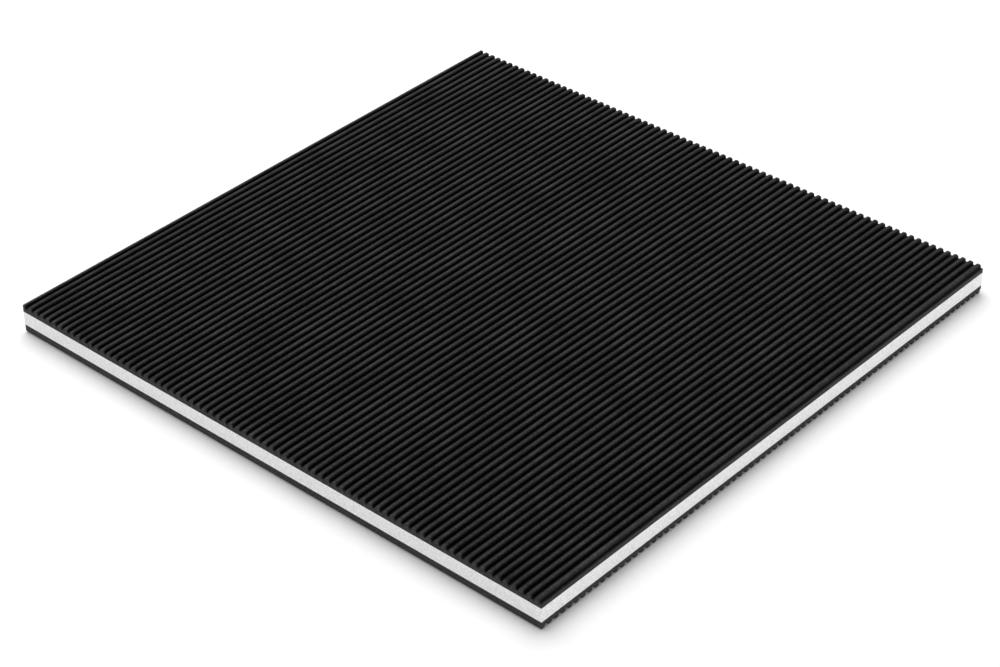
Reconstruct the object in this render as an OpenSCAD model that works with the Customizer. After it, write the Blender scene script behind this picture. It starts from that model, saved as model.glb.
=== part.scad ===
// Anti-vibration machine pad: a closed-cell foam core bonded between two ribbed rubber sheets.
// The ribs of the two sheets cross at a right angle, so that each side grips along another line.
// Frame: origin under the middle of the pad, on the plane it stands on, +Z up.
// The top ribs run along X, and the bottom ribs along Y.

/* [Pad] */
// Side of the square pad
pad_side = 457.2; // [50:0.1:600]
// Thickness of the foam core
foam_thickness = 10.4; // [4:0.1:25]

/* [Ribbed sheet] */
// Thickness of the sheet under its ribs
web_thickness = 3.1; // [1:0.1:8]
// Height of a rib above the web
rib_height = 2.8; // [2:0.1:5]
// Width of a rib between its flanks
rib_width = 3.6; // [2.8:0.1:4.4]
// Distance from the middle of one rib to the middle of the next
rib_pitch = 6.04; // [5.7:0.01:10]
// Radius of a rib's two crest edges
crest_radius = 1.3; // [0.2:0.05:1.35]
// Radius of the fillet between a rib's flank and the web
root_radius = 0.6; // [0.2:0.05:0.6]

/* [Where the sheets were cut] */
// From the pad's edge at -Y to the middle of the first whole top rib
top_first_rib = 3.6; // [0:0.1:6]
// From the pad's edge at -X to the middle of the first bottom rib
bottom_first_rib = 1.5; // [0:0.1:6]

/* [Hidden] */
$fn = 48;

sheet_thickness = web_thickness + rib_height;
foam_base = sheet_thickness;
top_sheet_base = foam_base + foam_thickness;
crest_flat = rib_width - 2 * crest_radius;
rubber_black = [0.09, 0.09, 0.095];
foam_white = [0.92, 0.92, 0.91];

// A fillet in the corner between a rib's right flank and the web
module root_fillet() {
    difference() {
        square(root_radius);
        translate([root_radius, root_radius]) circle(root_radius);
    }
}

// Cross-section of one rib, with its middle at zero and its foot on the web
module rib_section() {
    translate([-rib_width / 2, 0]) square([rib_width, rib_height - crest_radius]);
    translate([-crest_flat / 2, 0]) square([crest_flat, rib_height]);
    for (side = [-1, 1]) {
        translate([side * crest_flat / 2, rib_height - crest_radius]) circle(crest_radius);
        mirror([side < 0 ? 1 : 0, 0]) translate([rib_width / 2, 0]) root_fillet();
    }
}

// Cross-section of a whole sheet, cut to the pad's side wherever that falls in the ribs
module sheet_section(first_rib) {
    reach = rib_width / 2 + root_radius;
    first = ceil((-reach - first_rib) / rib_pitch);
    last = floor((pad_side + reach - first_rib) / rib_pitch);
    intersection() {
        square([pad_side, sheet_thickness]);
        union() {
            square([pad_side, web_thickness]);
            for (i = [first : last])
                translate([first_rib + i * rib_pitch, web_thickness]) rib_section();
        }
    }
}

// A ribbed sheet with its web on the XY plane, its ribs up and along X
module ribbed_sheet(first_rib) {
    translate([-pad_side / 2, -pad_side / 2, 0])
        rotate([90, 0, 90])
            linear_extrude(pad_side) sheet_section(first_rib);
}

module top_ribbed_sheet() {
    color(rubber_black)
        translate([0, 0, top_sheet_base]) ribbed_sheet(top_first_rib);
}

module foam_core() {
    color(foam_white)
        translate([-pad_side / 2, -pad_side / 2, foam_base])
            cube([pad_side, pad_side, foam_thickness]);
}

// The same sheet turned face down, with its ribs along Y
module bottom_ribbed_sheet() {
    color(rubber_black)
        translate([0, 0, sheet_thickness])
            rotate([180, 0, 90]) ribbed_sheet(bottom_first_rib);
}

bottom_ribbed_sheet();
foam_core();
top_ribbed_sheet();
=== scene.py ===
"""Looks of a square anti-vibration machine pad: white foam bonded between two ribbed black rubber sheets.

Units are metres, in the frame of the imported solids: the pad's underside is on z = 0, and its middle is on
the origin. The top ribs run along X and the bottom ribs along Y.
"""

import math

import bpy
import numpy as np
from mathutils import Matrix, Vector


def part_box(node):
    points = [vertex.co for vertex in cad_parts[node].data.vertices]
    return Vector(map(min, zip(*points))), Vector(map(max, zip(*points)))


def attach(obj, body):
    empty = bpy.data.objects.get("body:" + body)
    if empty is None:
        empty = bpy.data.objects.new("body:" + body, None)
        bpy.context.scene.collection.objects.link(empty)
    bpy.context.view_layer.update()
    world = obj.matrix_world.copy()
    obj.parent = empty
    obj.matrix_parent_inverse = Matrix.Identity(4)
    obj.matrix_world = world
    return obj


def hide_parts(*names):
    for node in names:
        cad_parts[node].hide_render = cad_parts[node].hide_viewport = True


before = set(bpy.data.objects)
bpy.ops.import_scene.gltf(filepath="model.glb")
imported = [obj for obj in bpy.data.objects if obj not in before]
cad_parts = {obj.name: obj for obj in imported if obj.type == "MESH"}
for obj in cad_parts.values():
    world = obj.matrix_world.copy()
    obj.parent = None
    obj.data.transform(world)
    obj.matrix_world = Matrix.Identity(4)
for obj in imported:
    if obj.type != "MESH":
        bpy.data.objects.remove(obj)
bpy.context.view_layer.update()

MM = 0.001

# Rib stock, with the same sizes as the solids
RIB_PITCH = 6.04 * MM
RIB_WIDTH = 3.6 * MM
RIB_HEIGHT = 2.8 * MM
CREST_RADIUS = 1.3 * MM
ROOT_RADIUS = 0.6 * MM
TOP_FIRST_RIB = 3.6 * MM
BOTTOM_FIRST_RIB = 1.5 * MM

# How finely the rubber is meshed
CREST_STEPS = 6
ROOT_STEPS = 3
SPANS_ALONG = 26
DROOP_STATIONS = 5

# Rounding of the rubber's cut edges, in two points: how far each lies from the cut and under the face
CUT_ROUNDING = 0.18 * MM
ROUNDING_BACK = CUT_ROUNDING * np.array([0.0, 0.3])
ROUNDING_DROP = CUT_ROUNDING * np.array([1.0, 0.3])

# How the ribs depart from a perfect extrusion: they droop towards the cuts, they sway, and some are lower,
# with a spread that is a share of the largest loss of height
EDGE_DROOP = 0.5 * MM
DROOP_REACH = 9.0 * MM
RIB_SWAY = 0.14 * MM
SWAY_MARGIN = 2 * RIB_PITCH
SWAY_LENGTHS = (0.09, 0.4)
SWAY_WAVES = 7
LARGEST_HEIGHT_LOSS = 0.03
HEIGHT_LOSS_SPREAD = 0.5

# Seed of the random heights, sway and ripple
SEED = 7

# Where painted light makes the rubber lighter, as it is more open to the light: near the cuts at the ribs'
# ends and at the sides, and on the outer flanks of the outermost ribs, where it sets in between two shares
# of the height
END_PAINTED_LIGHT = 1.5 * MM
SIDE_PAINTED_LIGHT = 1.0 * MM
OUTER_FLANK_PAINTED_LIGHT = 0.62
FLANK_PAINTED_LIGHT_RISE = (1 / 2, 5 / 6)

# Foam core: how its knife-cut sides are meshed, and how far they are hollowed and rippled
FOAM_COLUMNS = 90
FOAM_ROWS = 8
FOAM_HOLLOW = 0.22 * MM
FOAM_RIPPLE = 0.07 * MM

# Pattern of the foam's ripple, in lengths of a side: its waves, and how the four sides lie in it
RIPPLE_LENGTHS = (0.02, 0.12)
RIPPLE_WAVES = 6
RIPPLE_SIDE_STEP = 3
RIPPLE_SIDE_HEIGHT = 0.05
CORNER_FADE = 1 / 8

# Maps that the finishes are baked through: their name, and the heights of the strips on them and the gap
# between two. Each side of the foam is laid out in several strips.
BAKE_MAP = "OFBake"
SKIN_STRIP = 0.86
CUT_STRIP = 0.025
BONDED_STRIP = 0.01
FOAM_STRIP = 0.074
FOAM_STRIPS_PER_SIDE = 3
STRIP_GAP = 0.004

# Shading: edges that turn by more than this are sharp, and a sheet's two finishes have these slots
SHARP_EDGE_DEG = 40
MOULDED_SLOT = 0
CUT_SLOT = 1

# Colours of the surroundings, the floor, the specks of dust and the painted light on the rubber
WHITE = (1.0, 1.0, 1.0, 1.0)
FLOOR_WHITE = (0.95, 0.95, 0.95, 1.0)
DUST_GREY = (0.12, 0.12, 0.12, 1.0)
PAINTED_LIGHT_GREY = (0.026, 0.026, 0.0255, 1.0)

# Floor, just under the pad, and how far from the pad's middle it goes from shaded to plain white
FLOOR_SIZE = 12.0
FLOOR_DROP = 0.02 * MM
SHADOW_REACH = 0.45
WHITE_REACH = 0.8

# Light: the strength of the white world, and each soft box's place, width and power in watts
WORLD_STRENGTH = 0.35
SOFT_BOXES = {
    "overhead": ((0.7, 1.0, 2.3), 3.0, 80),
    "left_low": ((-2.0, 0.1, 0.35), 1.0, 8),
    "right_low": ((0.1, -2.0, 0.35), 1.0, 11.5),
}

# Camera, solved from the pad's corners in the photograph's 1000 by 667 frame
FRAME_WIDTH_PX = 1000
FOCAL_PX = 2658.7
SENSOR_WIDTH_MM = 36.0
CAMERA_AIM = Vector((-45.6, -34.4, 22.2)) * MM
CAMERA_DISTANCE = 1738.9 * MM
CAMERA_HEADING_DEG = 48.04
CAMERA_ELEVATION_DEG = 35.24
CAMERA_ROLL_DEG = 0.62


def arc(centre, radius, start_deg, end_deg, steps):
    """Points along an arc, with both ends."""
    angles = np.radians(np.linspace(start_deg, end_deg, steps + 1))
    return [(centre[0] + radius * math.cos(a), centre[1] + radius * math.sin(a)) for a in angles]


def rib_outline():
    """Outline over one rib and half a groove on each side, from the rib's middle and up from the web."""
    half = RIB_WIDTH / 2
    crest = arc((half - CREST_RADIUS, RIB_HEIGHT - CREST_RADIUS), CREST_RADIUS, 90, 0, CREST_STEPS)
    root = arc((half + ROOT_RADIUS, ROOT_RADIUS), ROOT_RADIUS, 180, 270, ROOT_STEPS)
    right = crest + root + [(RIB_PITCH / 2, 0.0)]
    left = [(-across, up) for across, up in reversed(right)]
    return np.array(left + right)


def sheet_outline(first_rib, side, web):
    """Outline of a sheet's ribbed face across its ribs, cut to the pad's side with rounded edges.

    Returns the points as (across, up), each point's rib number, and which points are groove middles."""
    # The last point of a rib's outline is the first of the next one's
    one = rib_outline()[:-1]
    reach = RIB_PITCH / 2
    lowest = math.floor((-first_rib - reach) / RIB_PITCH)
    highest = math.ceil((side - first_rib + reach) / RIB_PITCH)
    ribs = np.arange(lowest, highest + 1)
    points = np.concatenate([one + (first_rib + i * RIB_PITCH, web) for i in ribs])
    number = np.repeat(ribs - lowest, len(one))
    middle = np.tile(np.arange(len(one)) == 0, len(ribs))

    inside = (points[:, 0] > CUT_ROUNDING) & (points[:, 0] < side - CUT_ROUNDING)
    ends = np.interp([CUT_ROUNDING, side - CUT_ROUNDING], points[:, 0], points[:, 1])
    start = np.column_stack([ROUNDING_BACK, ends[0] - ROUNDING_DROP])
    finish = np.column_stack([side - ROUNDING_BACK, ends[1] - ROUNDING_DROP])[::-1]
    points = np.concatenate([start, points[inside], finish])
    number = np.pad(number[inside], len(ROUNDING_BACK), mode="edge")
    middle = np.pad(middle[inside], len(ROUNDING_BACK))
    return points, number, middle


def outward(points):
    """Unit normals of an outline that runs left to right, pointing up and out of the rubber."""
    along = np.gradient(points, axis=0)
    normals = np.column_stack([-along[:, 1], along[:, 0]])
    return normals / np.linalg.norm(normals, axis=1)[:, None]


def waves(rng, lengths, count):
    """A smooth random function of (along, across), mostly between -1 and 1, from a few waves."""
    turn = rng.uniform(0, 2 * math.pi, count)
    phase = rng.uniform(0, 2 * math.pi, count)
    wavelength = rng.uniform(*lengths, count)

    def height(along, across):
        total = 0
        for angle, offset, length in zip(turn, phase, wavelength):
            run = along * math.cos(angle) + across * math.sin(angle)
            total = total + np.sin(2 * math.pi * run / length + offset)
        return total / math.sqrt(count)

    return height


def stations_along(side):
    """Places of a sheet's cross-sections along its ribs, and how far a cut's rounding draws each one in."""
    drooping = np.geomspace(CUT_ROUNDING, DROOP_REACH, DROOP_STATIONS, endpoint=False)
    near = np.concatenate([ROUNDING_BACK, drooping])
    spans = np.linspace(DROOP_REACH, side - DROOP_REACH, SPANS_ALONG + 1)
    stations = np.concatenate([near, spans, side - near[::-1]])
    unrounded = np.zeros(len(stations) - 2 * len(ROUNDING_DROP))
    return stations, np.concatenate([ROUNDING_DROP, unrounded, ROUNDING_DROP[::-1]])


def outer_share(across, first_rib, side):
    """1 on the outer halves of the two outermost ribs and beyond, falling to 0 over their inner halves."""
    last_rib = first_rib + RIB_PITCH * math.floor((side - first_rib) / RIB_PITCH)
    inward = np.minimum(across - first_rib, last_rib - across)
    return np.clip(1 - inward / (RIB_WIDTH / 2), 0, 1)


def ribbed_skin(outline, rib, first_rib, side, web, seed):
    """Points of a sheet's ribbed face, in one row for each cross-section along the ribs.

    Returns the rows, and for each point its share of a rib's height and how much painted light it takes."""
    rng = np.random.default_rng(seed)
    height_change = np.clip(rng.normal(0, HEIGHT_LOSS_SPREAD, rib.max() + 1), -1, 0)
    rib_scale = 1 + LARGEST_HEIGHT_LOSS * height_change[rib]
    sway = waves(rng, SWAY_LENGTHS, SWAY_WAVES)
    normals = outward(outline)
    from_side = np.minimum(outline[:, 0], side - outline[:, 0])
    free_to_sway = np.clip(from_side / SWAY_MARGIN, 0, 1)
    crest = np.clip((outline[:, 1] - web) / RIB_HEIGHT, 0, 1)
    upper_flank = np.interp(crest, FLANK_PAINTED_LIGHT_RISE, (0, 1))
    # Painted light: the rubber is painted lighter near the cuts and on the outermost ribs' outer flanks,
    # where more light reaches
    painted_light_on_flank = OUTER_FLANK_PAINTED_LIGHT * outer_share(outline[:, 0], first_rib, side) * upper_flank

    rows, painted_light_share = [], []
    for along, inset in zip(*stations_along(side)):
        place = outline - inset * normals
        across = place[:, 0] + RIB_SWAY * free_to_sway * sway(along, outline[:, 0])
        from_end = min(along, side - along)
        from_cut = np.minimum(from_side, from_end)
        droop = EDGE_DROOP * np.clip(1 - from_cut / DROOP_REACH, 0, 1) ** 2
        above_web = place[:, 1] - web
        rib_part = above_web * rib_scale * (1 - droop / RIB_HEIGHT)
        up = web + np.where(above_web > 0, rib_part, above_web)
        rows.append(np.column_stack([np.full(len(outline), along), across, up]))
        painted_light_near_cut = np.maximum(1 - from_side / SIDE_PAINTED_LIGHT, 1 - from_end / END_PAINTED_LIGHT)
        painted_light_share.append(np.maximum(painted_light_on_flank, np.clip(painted_light_near_cut, 0, 1)))
    crest_rows = np.tile(crest, len(rows))
    return rows, crest_rows, np.concatenate(painted_light_share)


def sheet_faces(row_count, point_count, base_points):
    """Faces of a closed sheet: its ribbed skin, its bonded face, its two ends and its two sides.

    The bonded face has two rows of vertices, one at each end, under the outline's points in base_points."""
    last = row_count - 1
    base_count = len(base_points)

    def on_skin(row, point):
        return row * point_count + point

    def on_base(end, point):
        return row_count * point_count + end * base_count + point

    skin = []
    for row in range(last):
        for point in range(point_count - 1):
            here, there = on_skin(row, point), on_skin(row + 1, point)
            skin.append((here, there, there + 1, here + 1))
    bonded, near_end, far_end = [], [], []
    for cell in range(base_count - 1):
        points = range(base_points[cell], base_points[cell + 1] + 1)
        bonded.append((on_base(0, cell), on_base(0, cell + 1), on_base(1, cell + 1), on_base(1, cell)))
        near_points = [on_skin(0, point) for point in points]
        near_end.append([on_base(0, cell + 1), on_base(0, cell)] + near_points)
        far_points = [on_skin(last, point) for point in reversed(points)]
        far_end.append([on_base(1, cell), on_base(1, cell + 1)] + far_points)
    low_side = [on_base(0, 0), on_base(1, 0)]
    low_side += [on_skin(row, 0) for row in reversed(range(row_count))]
    high_side = [on_base(1, base_count - 1), on_base(0, base_count - 1)]
    high_side += [on_skin(row, point_count - 1) for row in range(row_count)]
    return skin, bonded, near_end, far_end, [low_side], [high_side]


def mesh_of_patches(name, vertices, patches):
    """A smooth mesh made of patches of faces, with the map that its finish is baked through.

    Each patch is its faces, how far along and how far up the patch each vertex lies, from 0 to 1, and the
    height of its strip on the map, where the strips are stacked from the bottom."""
    mesh = bpy.data.meshes.new(name)
    mesh.from_pydata(vertices.tolist(), [], [face for patch in patches for face in patch[0]])
    mesh.polygons.foreach_set("use_smooth", [True] * len(mesh.polygons))
    mesh.set_sharp_from_angle(angle=math.radians(SHARP_EDGE_DEG))

    places = []
    bottom = 0.0
    for faces, along, up, height in patches:
        corners = np.concatenate(faces)
        places.append(np.column_stack([along[corners], bottom + height * up[corners]]))
        bottom += height + STRIP_GAP
    on_map = np.concatenate(places).astype(np.float32)
    mesh.uv_layers.new(name=BAKE_MAP).uv.foreach_set("vector", on_map.ravel())
    return mesh


def write_attribute(mesh, name, values):
    """Stores a value for each of a mesh's first vertices, and 0 for the rest."""
    every = np.zeros(len(mesh.vertices), np.float32)
    every[:len(values)] = values
    mesh.attributes.new(name, "FLOAT", "POINT").data.foreach_set("value", every)


def ribbed_sheet(name, first_rib, side, thickness, seed):
    """A closed mesh of a ribbed sheet: x along the ribs, y across them, z up from the bonded face."""
    web = thickness - RIB_HEIGHT
    outline, rib, middle = sheet_outline(first_rib, side, web)
    rows, crest, painted_light_share = ribbed_skin(outline, rib, first_rib, side, web, seed)
    base_points = np.concatenate([[0], np.flatnonzero(middle), [len(outline) - 1]])
    base = [(along, across, 0.0) for along in (0.0, side) for across in outline[base_points, 0]]
    vertices = np.concatenate(rows + [base])

    along, across, up = (vertices / (side, side, thickness)).T
    steps = np.linalg.norm(np.diff(outline, axis=0), axis=1)
    unrolled = np.tile(np.append(0, np.cumsum(steps)) / steps.sum(), len(rows))
    skin, bonded, near_end, far_end, low_side, high_side = sheet_faces(len(rows), len(outline), base_points)
    mesh = mesh_of_patches(name, vertices, [
        (skin, along, unrolled, SKIN_STRIP),
        (bonded, along, across, BONDED_STRIP),
        (near_end, across, up, CUT_STRIP),
        (far_end, across, up, CUT_STRIP),
        (low_side, along, up, CUT_STRIP),
        (high_side, along, up, CUT_STRIP)])

    moulded_count = len(skin) + len(bonded)
    cut_count = len(mesh.polygons) - moulded_count
    slots = [MOULDED_SLOT] * moulded_count + [CUT_SLOT] * cut_count
    mesh.polygons.foreach_set("material_index", slots)
    write_attribute(mesh, "crest", crest)
    write_attribute(mesh, "painted_light_share", painted_light_share)
    return mesh


def foam_rings(low, size, seed):
    """Points round the foam in rings from its bottom to its top, drawn in by the hollow and the ripple."""
    ripple = waves(np.random.default_rng(seed), RIPPLE_LENGTHS, RIPPLE_WAVES)
    starts = np.array([(0, 0), (1, 0), (1, 1), (0, 1)])
    ends = np.roll(starts, -1, axis=0)
    inwards = np.array([(0, 1), (-1, 0), (0, -1), (1, 0)])
    steps = np.arange(FOAM_COLUMNS) / FOAM_COLUMNS
    fade = np.minimum(1, np.minimum(steps, 1 - steps) / CORNER_FADE)
    points = []
    for height in np.linspace(0, 1, FOAM_ROWS + 1):
        hollow = FOAM_HOLLOW * (1 - (2 * height - 1) ** 2)
        for edge, (start, end, inward) in enumerate(zip(starts, ends, inwards)):
            place = low[:2] + size[:2] * (start + np.outer(steps, end - start))
            wave = 1 + ripple(steps + RIPPLE_SIDE_STEP * edge, RIPPLE_SIDE_HEIGHT * height)
            push = (hollow + FOAM_RIPPLE * wave * math.sin(math.pi * height)) * fade
            up = np.full(FOAM_COLUMNS, low[2] + size[2] * height)
            points.append(np.column_stack([place + np.outer(push, inward), up]))
    return np.concatenate(points)


def foam_slab(name, low, high, seed):
    """A closed slab whose four knife-cut sides are slightly hollow and rippled."""
    low, size = np.array(low), np.array(high - low)
    vertices = foam_rings(low, size, seed)
    around = 4 * FOAM_COLUMNS

    def side_face(row, i):
        below, above = row * around, (row + 1) * around
        after = (i + 1) % around
        return below + i, below + after, above + after, above + i

    x, y, z = ((vertices - low) / size).T
    columns = FOAM_COLUMNS // FOAM_STRIPS_PER_SIDE
    patches = []
    for edge, run in enumerate((x, y, 1 - x, 1 - y)):
        for part in range(FOAM_STRIPS_PER_SIDE):
            first = edge * FOAM_COLUMNS + part * columns
            faces = [side_face(row, first + i) for row in range(FOAM_ROWS) for i in range(columns)]
            patches.append((faces, FOAM_STRIPS_PER_SIDE * run - part, z, FOAM_STRIP))
    bottom = list(reversed(range(around)))
    top = [FOAM_ROWS * around + i for i in range(around)]
    patches += [([face], x, y, BONDED_STRIP) for face in (bottom, top)]
    return mesh_of_patches(name, vertices, patches)


def node(tree, kind, settings=None, **inputs):
    """Adds a shader node, with its settings and its inputs, which are values or other nodes' sockets."""
    made = tree.nodes.new(kind)
    for name, value in (settings or {}).items():
        setattr(made, name, value)
    for name, value in inputs.items():
        socket = made.inputs[name.replace("_", " ")]
        if isinstance(value, bpy.types.NodeSocket):
            tree.links.new(value, socket)
        else:
            socket.default_value = value
    return made


def material(name):
    """A new material, its node tree and its principled shader."""
    made = bpy.data.materials.new(name)
    made.use_nodes = True
    return made, made.node_tree, made.node_tree.nodes["Principled BSDF"]


def ramp(tree, factor, stops):
    """A colour ramp over (position, grey or colour) stops."""
    made = node(tree, "ShaderNodeValToRGB", Fac=factor)
    elements = made.color_ramp.elements
    while len(elements) < len(stops):
        elements.new(0.5)
    for element, (position, colour) in zip(elements, stops):
        element.position = position
        rgb = colour if isinstance(colour, tuple) else (colour,) * 3
        element.color = (*rgb, 1.0)
    return made.outputs["Color"]


def times(tree, first, second):
    """Product of two colours."""
    made = node(tree, "ShaderNodeVectorMath", {"operation": "MULTIPLY"})
    tree.links.new(first, made.inputs[0])
    tree.links.new(second, made.inputs[1])
    return made.outputs["Vector"]


def rubber_skin():
    """Moulded rubber: painted shade in the grooves, painted highlight on the crests, painted light near the
    cuts and on the outermost ribs' outer flanks, and specks of dust.
    """
    made, tree, shader = material("rubber_moulded")
    place = node(tree, "ShaderNodeTexCoord").outputs["Object"]
    crest = node(tree, "ShaderNodeAttribute", {"attribute_name": "crest"}).outputs["Fac"]
    painted_light_share = node(tree, "ShaderNodeAttribute", {"attribute_name": "painted_light_share"}).outputs["Fac"]
    cloud = node(tree, "ShaderNodeTexNoise", Vector=place, Scale=32.0, Detail=6.0, Roughness=0.9)
    grain = node(tree, "ShaderNodeTexNoise", Vector=place, Scale=900.0, Detail=4.0, Roughness=0.7)
    dust = node(tree, "ShaderNodeTexVoronoi", Vector=place, Scale=100.0)

    # Painted shade and highlight: the rubber is painted darker down in the grooves and lighter up on the
    # crests, by its share of a rib's height.
    painted_shade_by_height = ramp(tree, crest, [
        (0.5, (0.003, 0.003, 0.0033)), (0.86, (0.0048, 0.0048, 0.0053)), (1.0, (0.0071, 0.0071, 0.0078))])
    # Painted light: the rubber is painted lighter near the cuts and on the outer flanks of the outermost
    # ribs, where more light reaches.
    with_painted_light = node(tree, "ShaderNodeMixRGB", Fac=painted_light_share, Color1=painted_shade_by_height, Color2=PAINTED_LIGHT_GREY)
    bloom = ramp(tree, cloud.outputs["Fac"], [(0.3, 0.65), (0.7, 1.35)])
    patchy = times(tree, bloom, ramp(tree, grain.outputs["Fac"], [(0.38, 0.5), (0.62, 1.5)]))
    mottled = times(tree, with_painted_light.outputs["Color"], patchy)
    speck = ramp(tree, dust.outputs["Distance"], [(0.02, 1.0), (0.035, 0.0)])
    tone = node(tree, "ShaderNodeMixRGB", Fac=speck, Color1=mottled, Color2=DUST_GREY)
    tree.links.new(tone.outputs["Color"], shader.inputs["Base Color"])

    rough = ramp(tree, cloud.outputs["Fac"], [(0.35, 0.66), (0.65, 0.44)])
    tree.links.new(rough, shader.inputs["Roughness"])
    shader.inputs["Specular IOR Level"].default_value = 0.12
    # Painted reflection: the reflection is tinted down in the grooves and on the flanks as painted shade,
    # and kept up on the crests as painted sheen.
    painted_sheen_by_height = ramp(tree, crest, [
        (0.4, (0.06, 0.06, 0.064)), (0.86, (0.31, 0.31, 0.33)), (0.98, (0.73, 0.73, 0.78))])
    tree.links.new(times(tree, painted_sheen_by_height, patchy), shader.inputs["Specular Tint"])
    bump = node(tree, "ShaderNodeBump", Height=grain.outputs["Fac"], Strength=0.25, Distance=0.05 * MM)
    tree.links.new(bump.outputs["Normal"], shader.inputs["Normal"])
    return made


def rubber_cut():
    """Knife-cut rubber: matt and greyer than the moulded face."""
    made, tree, shader = material("rubber_cut")
    place = node(tree, "ShaderNodeTexCoord").outputs["Object"]
    grain = node(tree, "ShaderNodeTexNoise", Vector=place, Scale=600.0, Detail=4.0, Roughness=0.75)
    tone = ramp(tree, grain.outputs["Fac"], [
        (0.38, (0.006, 0.006, 0.0058)), (0.62, (0.038, 0.038, 0.0372))])
    tree.links.new(tone, shader.inputs["Base Color"])
    shader.inputs["Roughness"].default_value = 0.8
    shader.inputs["Specular IOR Level"].default_value = 0.3
    bump = node(tree, "ShaderNodeBump", Height=grain.outputs["Fac"], Strength=0.4, Distance=0.1 * MM)
    tree.links.new(bump.outputs["Normal"], shader.inputs["Normal"])
    return made


def foam():
    """White closed-cell foam, faintly mottled, with the fine cells that the knife has opened, painted
    darker in their middles as painted shade.
    """
    made, tree, shader = material("foam_white")
    place = node(tree, "ShaderNodeTexCoord").outputs["Object"]
    cells = node(tree, "ShaderNodeTexVoronoi", Vector=place, Scale=1500.0)
    cloud = node(tree, "ShaderNodeTexNoise", Vector=place, Scale=750.0, Detail=4.0, Roughness=0.7)
    mottle = ramp(tree, cloud.outputs["Fac"], [(0.3, (0.73, 0.73, 0.725)), (0.7, (0.99, 0.99, 0.985))])
    # Painted shade: each opened cell is painted darker towards its middle, as shade in a pit.
    painted_pit_shade = ramp(tree, cells.outputs["Distance"], [(0.1, 0.8), (0.6, 1.0)])
    tree.links.new(times(tree, mottle, painted_pit_shade), shader.inputs["Base Color"])
    shader.inputs["Roughness"].default_value = 0.9
    shader.inputs["Specular IOR Level"].default_value = 0.2
    bump = node(tree, "ShaderNodeBump", Height=cells.outputs["Distance"], Strength=0.35, Distance=0.15 * MM)
    tree.links.new(bump.outputs["Normal"], shader.inputs["Normal"])
    return made


def add_piece(mesh, materials, cad_node):
    """Adds a mesh to the scene with its materials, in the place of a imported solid."""
    for made in materials:
        mesh.materials.append(made)
    piece = bpy.data.objects.new(mesh.name, mesh)
    bpy.context.scene.collection.objects.link(piece)
    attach(piece, "root")
    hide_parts(cad_node)
    return piece


def build_pad():
    """The two ribbed sheets and the foam core between them."""
    rubber = [rubber_skin(), rubber_cut()]
    low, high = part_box("top_ribbed_sheet")
    side, thickness = high.x - low.x, high.z - low.z
    mesh = ribbed_sheet("top_sheet", TOP_FIRST_RIB, side, thickness, SEED)
    mesh.transform(Matrix.Translation(low))
    add_piece(mesh, rubber, "top_ribbed_sheet")

    low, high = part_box("bottom_ribbed_sheet")
    face_down = Matrix(((0, 1, 0, low.x), (1, 0, 0, low.y), (0, 0, -1, high.z), (0, 0, 0, 1)))
    mesh = ribbed_sheet("bottom_sheet", BOTTOM_FIRST_RIB, side, thickness, SEED + 1)
    mesh.transform(face_down)
    add_piece(mesh, rubber, "bottom_ribbed_sheet")

    mesh = foam_slab("core", *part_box("foam_core"), SEED + 2)
    core = add_piece(mesh, [foam()], "foam_core")


def rays_that_show(tree):
    """1 for camera, glossy and transmission rays, which show what they meet, and 0 for all others."""
    path = node(tree, "ShaderNodeLightPath")
    seen = path.outputs["Is Camera Ray"]
    for other in ("Is Glossy Ray", "Is Transmission Ray"):
        both = node(tree, "ShaderNodeMath", {"operation": "MAXIMUM"})
        tree.links.new(seen, both.inputs[0])
        tree.links.new(path.outputs[other], both.inputs[1])
        seen = both.outputs["Value"]
    return seen


def floor_white():
    """White floor that takes the pad's shadow round the pad, and shows plain white further out."""
    made, tree, shader = material("floor_white")
    shader.inputs["Base Color"].default_value = FLOOR_WHITE
    shader.inputs["Roughness"].default_value = 0.9
    place = node(tree, "ShaderNodeTexCoord").outputs["Object"]
    from_pad = node(tree, "ShaderNodeVectorMath", {"operation": "LENGTH"}, Vector=place).outputs["Value"]
    far = node(tree, "ShaderNodeMapRange", {"interpolation_type": "SMOOTHSTEP"}, Value=from_pad,
               From_Min=SHADOW_REACH, From_Max=WHITE_REACH)
    shown = node(tree, "ShaderNodeMath", {"operation": "MULTIPLY"})
    tree.links.new(far.outputs["Result"], shown.inputs[0])
    tree.links.new(rays_that_show(tree), shown.inputs[1])
    white = node(tree, "ShaderNodeEmission", Color=WHITE, Strength=1.0)
    mix = node(tree, "ShaderNodeMixShader", Fac=shown.outputs["Value"])
    tree.links.new(shader.outputs["BSDF"], mix.inputs[1])
    tree.links.new(white.outputs["Emission"], mix.inputs[2])
    tree.links.new(mix.outputs["Shader"], tree.nodes["Material Output"].inputs["Surface"])
    return made


def build_floor():
    """A square floor under the pad."""
    mesh = bpy.data.meshes.new("floor")
    half = FLOOR_SIZE / 2
    corners = [(-half, -half, 0), (half, -half, 0), (half, half, 0), (-half, half, 0)]
    mesh.from_pydata(corners, [], [(0, 1, 2, 3)])
    mesh.materials.append(floor_white())
    floor = bpy.data.objects.new("floor", mesh)
    bpy.context.scene.collection.objects.link(floor)
    floor.location.z = -FLOOR_DROP


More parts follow.
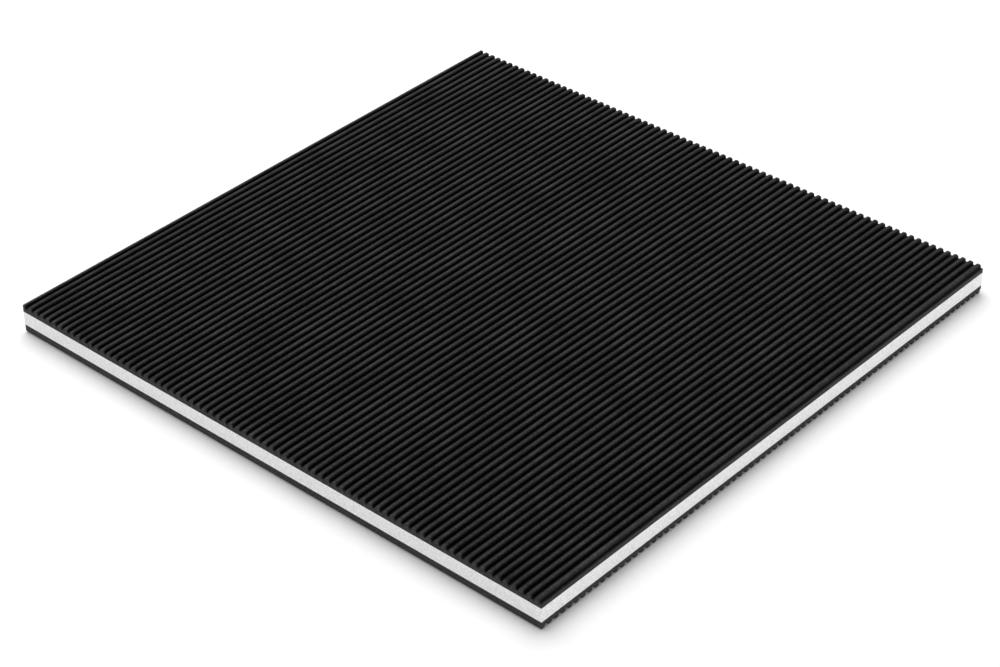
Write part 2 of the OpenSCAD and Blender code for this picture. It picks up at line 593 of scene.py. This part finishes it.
def build_world():
    """A world that shows plain white and lights the pad softly."""
    world = bpy.data.worlds.new("studio")
    bpy.context.scene.world = world
    world.use_nodes = True
    tree = world.node_tree
    light = tree.nodes["Background"]
    light.inputs["Color"].default_value = WHITE
    light.inputs["Strength"].default_value = WORLD_STRENGTH
    white = node(tree, "ShaderNodeBackground", Color=WHITE, Strength=1.0)
    mix = node(tree, "ShaderNodeMixShader", Fac=rays_that_show(tree))
    tree.links.new(light.outputs["Background"], mix.inputs[1])
    tree.links.new(white.outputs["Background"], mix.inputs[2])
    tree.links.new(mix.outputs["Shader"], tree.nodes["World Output"].inputs["Surface"])


def build_lights():
    """Soft boxes aimed at the pad: a large one over and behind it, and a low one before each near side."""
    for name, (place, width, power) in SOFT_BOXES.items():
        data = bpy.data.lights.new(name, "AREA")
        data.shape = "SQUARE"
        data.size = width
        data.energy = power
        lamp = bpy.data.objects.new(name, data)
        bpy.context.scene.collection.objects.link(lamp)
        lamp.location = place
        lamp.rotation_euler = (-Vector(place)).to_track_quat("-Z", "Y").to_euler()
        lamp.visible_camera = False


def build_camera():
    """A camera at the photograph's viewing angle."""
    heading = math.radians(CAMERA_HEADING_DEG)
    elevation = math.radians(CAMERA_ELEVATION_DEG)
    level_run = math.cos(elevation)
    forward = Vector((math.sin(heading) * level_run, math.cos(heading) * level_run, -math.sin(elevation)))
    data = bpy.data.cameras.new("photo_camera")
    data.sensor_width = SENSOR_WIDTH_MM
    data.lens = FOCAL_PX * SENSOR_WIDTH_MM / FRAME_WIDTH_PX
    camera = bpy.data.objects.new("photo_camera", data)
    bpy.context.scene.collection.objects.link(camera)
    camera.location = CAMERA_AIM - CAMERA_DISTANCE * forward
    level = forward.to_track_quat("-Z", "Y").to_matrix()
    roll = Matrix.Rotation(math.radians(-CAMERA_ROLL_DEG), 3, "Z")
    camera.rotation_euler = (level @ roll).to_euler()
    bpy.context.scene.camera = camera


build_pad()
build_floor()
build_world()
build_lights()
build_camera()
bpy.context.scene.view_settings.view_transform = "Standard"
